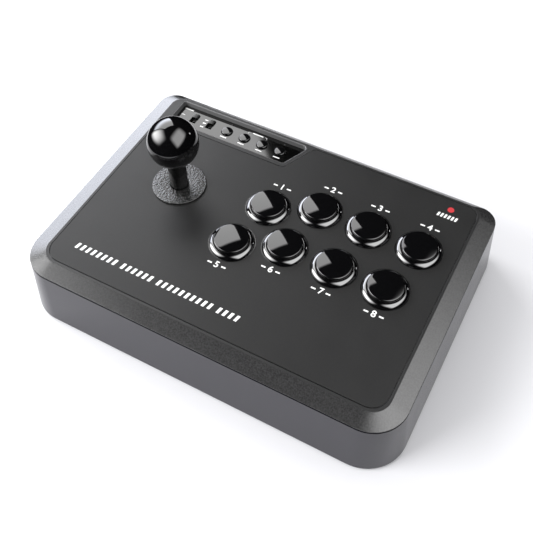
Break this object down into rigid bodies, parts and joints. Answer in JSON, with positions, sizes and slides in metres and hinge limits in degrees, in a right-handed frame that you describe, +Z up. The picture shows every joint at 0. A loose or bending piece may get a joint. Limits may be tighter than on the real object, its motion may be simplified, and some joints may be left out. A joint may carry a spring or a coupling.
{
  "type": "arcade joystick panel",
  "caption": "Tabletop arcade controller: flared housing with a sloping bezel, ball-top stick, push buttons in two rows, and a rear control recess.",
  "frame": {"origin": "on the standing surface, under the middle of the housing", "axes": "+X along the long side to the player's right, +Y away from the player, +Z up"},
  "size_m": [0.2794, 0.1988, 0.1089],
  "materials": {
    "shell": "fine texture",
    "bezel": "fine texture",
    "panel": "satin",
    "gloss_black": "polished",
    "grained_black": "coarse grain",
    "inner_black": "moulded",
    "inner_white": "moulded",
    "rubber": "matt",
    "steel": "ground",
    "zinc_steel": "zinc plated",
    "circuit_board": "solder mask"
  },
  "bodies": {
    "housing": {"side_frame": "shell", "bottom_plate": "shell", "top_cover": "bezel", "panel_plate": "panel", "rubber_foot_1": "rubber", "rubber_foot_2": "rubber", "rubber_foot_3": "rubber", "rubber_foot_4": "rubber", "housing_screw_1": "zinc_steel", "housing_screw_2": "zinc_steel", "housing_screw_3": "zinc_steel", "housing_screw_4": "zinc_steel", "cable_gland": "rubber", "main_board": "circuit_board", "control_board": "circuit_board", "button_housing_1": "gloss_black", "button_housing_2": "gloss_black", "button_housing_3": "gloss_black", "button_housing_4": "gloss_black", "button_housing_5": "gloss_black", "button_housing_6": "gloss_black", "button_housing_7": "gloss_black", "button_housing_8": "gloss_black", "button_switch_1": "inner_black", "button_switch_2": "inner_black", "button_switch_3": "inner_black", "button_switch_4": "inner_black", "button_switch_5": "inner_black", "button_switch_6": "inner_black", "button_switch_7": "inner_black", "button_switch_8": "inner_black", "mounting_plate": "zinc_steel", "joystick_case": "inner_black", "return_spring": "steel", "switch_board": "circuit_board", "restrictor_gate": "inner_white"},
    "gimbal": {"gimbal_ring": "inner_black"},
    "stick": {"ball_top": "gloss_black", "stick_shaft": "steel", "shaft_cover": "grained_black", "pivot_hub": "inner_white", "switch_actuator": "inner_white", "retaining_clip": "zinc_steel"},
    "lower_washer": {"lower_dust_washer": "inner_black"},
    "upper_washer": {"dust_washer": "grained_black"},
    "button_1": {"button_plunger_1": "gloss_black"},
    "button_2": {"button_plunger_2": "gloss_black"},
    "button_3": {"button_plunger_3": "gloss_black"},
    "button_4": {"button_plunger_4": "gloss_black"},
    "button_5": {"button_plunger_5": "gloss_black"},
    "button_6": {"button_plunger_6": "gloss_black"},
    "button_7": {"button_plunger_7": "gloss_black"},
    "button_8": {"button_plunger_8": "gloss_black"},
    "menu_key": {"menu_button": "gloss_black"},
    "left_key": {"left_button": "gloss_black"},
    "right_key": {"right_button": "gloss_black"},
    "home_key": {"home_button": "gloss_black"},
    "switch_1": {"slide_knob_1": "gloss_black"},
    "switch_2": {"slide_knob_2": "gloss_black"}
  },
  "joints": [
    {"name": "stick_tilt_x", "type": "hinge", "parent": "housing", "child": "gimbal", "pos_m": [-0.074, 0.0132, 0.033], "axis": [1, 0, 0], "range_deg": [-8, 8], "stiffness_Nm_per_rad": 0.45},
    {"name": "stick_tilt_y", "type": "hinge", "parent": "gimbal", "child": "stick", "pos_m": [-0.074, 0.0132, 0.033], "axis": [0, 1, 0], "range_deg": [-8, 8], "stiffness_Nm_per_rad": 0.45},
    {"name": "washer_slide_x", "type": "slide", "parent": "housing", "child": "lower_washer", "axis": [1, 0, 0], "range_m": [-0.0026, 0.0026]},
    {"name": "washer_slide_y", "type": "slide", "parent": "lower_washer", "child": "upper_washer", "axis": [0, 1, 0], "range_m": [-0.0026, 0.0026]},
    {"name": "button_1_press", "type": "slide", "parent": "housing", "child": "button_1", "axis": [0, 0, -1], "range_m": [0, 0.003], "stiffness_N_per_m": 200, "springref_m": -0.001},
    {"name": "button_2_press", "type": "slide", "parent": "housing", "child": "button_2", "axis": [0, 0, -1], "range_m": [0, 0.003], "stiffness_N_per_m": 200, "springref_m": -0.001},
    {"name": "button_3_press", "type": "slide", "parent": "housing", "child": "button_3", "axis": [0, 0, -1], "range_m": [0, 0.003], "stiffness_N_per_m": 200, "springref_m": -0.001},
    {"name": "button_4_press", "type": "slide", "parent": "housing", "child": "button_4", "axis": [0, 0, -1], "range_m": [0, 0.003], "stiffness_N_per_m": 200, "springref_m": -0.001},
    {"name": "button_5_press", "type": "slide", "parent": "housing", "child": "button_5", "axis": [0, 0, -1], "range_m": [0, 0.003], "stiffness_N_per_m": 200, "springref_m": -0.001},
    {"name": "button_6_press", "type": "slide", "parent": "housing", "child": "button_6", "axis": [0, 0, -1], "range_m": [0, 0.003], "stiffness_N_per_m": 200, "springref_m": -0.001},
    {"name": "button_7_press", "type": "slide", "parent": "housing", "child": "button_7", "axis": [0, 0, -1], "range_m": [0, 0.003], "stiffness_N_per_m": 200, "springref_m": -0.001},
    {"name": "button_8_press", "type": "slide", "parent": "housing", "child": "button_8", "axis": [0, 0, -1], "range_m": [0, 0.003], "stiffness_N_per_m": 200, "springref_m": -0.001},
    {"name": "menu_press", "type": "slide", "parent": "housing", "child": "menu_key", "axis": [0, 0, -1], "range_m": [0, 0.0008], "stiffness_N_per_m": 1200, "springref_m": -0.0003},
    {"name": "left_press", "type": "slide", "parent": "housing", "child": "left_key", "axis": [0, 0, -1], "range_m": [0, 0.0008], "stiffness_N_per_m": 1200, "springref_m": -0.0003},
    {"name": "right_press", "type": "slide", "parent": "housing", "child": "right_key", "axis": [0, 0, -1], "range_m": [0, 0.0008], "stiffness_N_per_m": 1200, "springref_m": -0.0003},
    {"name": "home_press", "type": "slide", "parent": "housing", "child": "home_key", "axis": [0, 0, -1], "range_m": [0, 0.0008], "stiffness_N_per_m": 1200, "springref_m": -0.0003},
    {"name": "switch_1_slide", "type": "slide", "parent": "housing", "child": "switch_1", "axis": [0, 1, 0], "range_m": [-0.0044, 0]},
    {"name": "switch_2_slide", "type": "slide", "parent": "housing", "child": "switch_2", "axis": [0, 1, 0], "range_m": [-0.0044, 0]}
  ],
  "couplings": [
    {"joint": "washer_slide_x", "follows": "stick_tilt_y", "m_per_rad": 0.0179},
    {"joint": "washer_slide_y", "follows": "stick_tilt_x", "m_per_rad": -0.0179}
  ]
}
